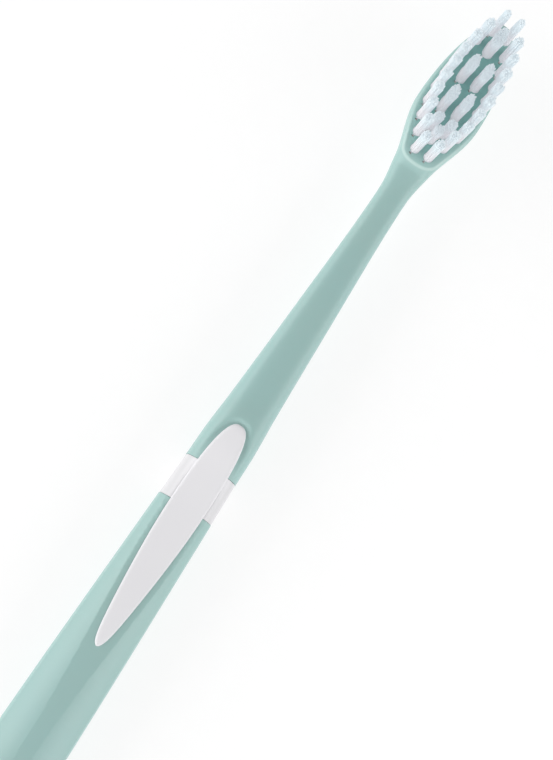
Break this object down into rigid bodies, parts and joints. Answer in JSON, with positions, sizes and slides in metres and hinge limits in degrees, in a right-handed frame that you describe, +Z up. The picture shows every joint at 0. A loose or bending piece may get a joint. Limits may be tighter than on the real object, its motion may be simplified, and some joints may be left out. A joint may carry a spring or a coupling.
{
  "type": "manual toothbrush",
  "caption": "Slim sage green manual toothbrush with a tapered white-tufted head, a white leaf-shaped thumb pad and a white band round its handle.",
  "frame": {"origin": "on the surface the brush lies on, under the middle of its bounding box", "axes": "+X along the brush towards the toe of the head, +Y towards the left side, +Z up, the way the bristles point"},
  "size_m": [0.188, 0.0122, 0.0204],
  "materials": {
    "handle_plastic": "satin sage green polypropylene",
    "grip_rubber": "smooth white thermoplastic elastomer",
    "bristle_nylon": "fine translucent white nylon filaments",
    "anchor_metal": "flat nickel silver wire"
  },
  "bodies": {
    "root": {"handle": "handle_plastic", "grip": "grip_rubber", "anchors": "anchor_metal", "tuft_left_1": "bristle_nylon", "tuft_left_2": "bristle_nylon", "tuft_left_3": "bristle_nylon", "tuft_left_4": "bristle_nylon", "tuft_left_5": "bristle_nylon", "tuft_left_6": "bristle_nylon", "tuft_left_7": "bristle_nylon", "tuft_left_8": "bristle_nylon", "tuft_left_9": "bristle_nylon", "tuft_left_10": "bristle_nylon", "tuft_right_1": "bristle_nylon", "tuft_right_2": "bristle_nylon", "tuft_right_3": "bristle_nylon", "tuft_right_4": "bristle_nylon", "tuft_right_5": "bristle_nylon", "tuft_right_6": "bristle_nylon", "tuft_right_7": "bristle_nylon", "tuft_right_8": "bristle_nylon", "tuft_right_9": "bristle_nylon", "tuft_right_10": "bristle_nylon", "tuft_inner_left_1": "bristle_nylon", "tuft_inner_left_2": "bristle_nylon", "tuft_inner_left_3": "bristle_nylon", "tuft_inner_right_1": "bristle_nylon", "tuft_inner_right_2": "bristle_nylon", "tuft_inner_right_3": "bristle_nylon", "tuft_toe_middle": "bristle_nylon", "tuft_heel_middle": "bristle_nylon"}
  },
  "joints": []
}
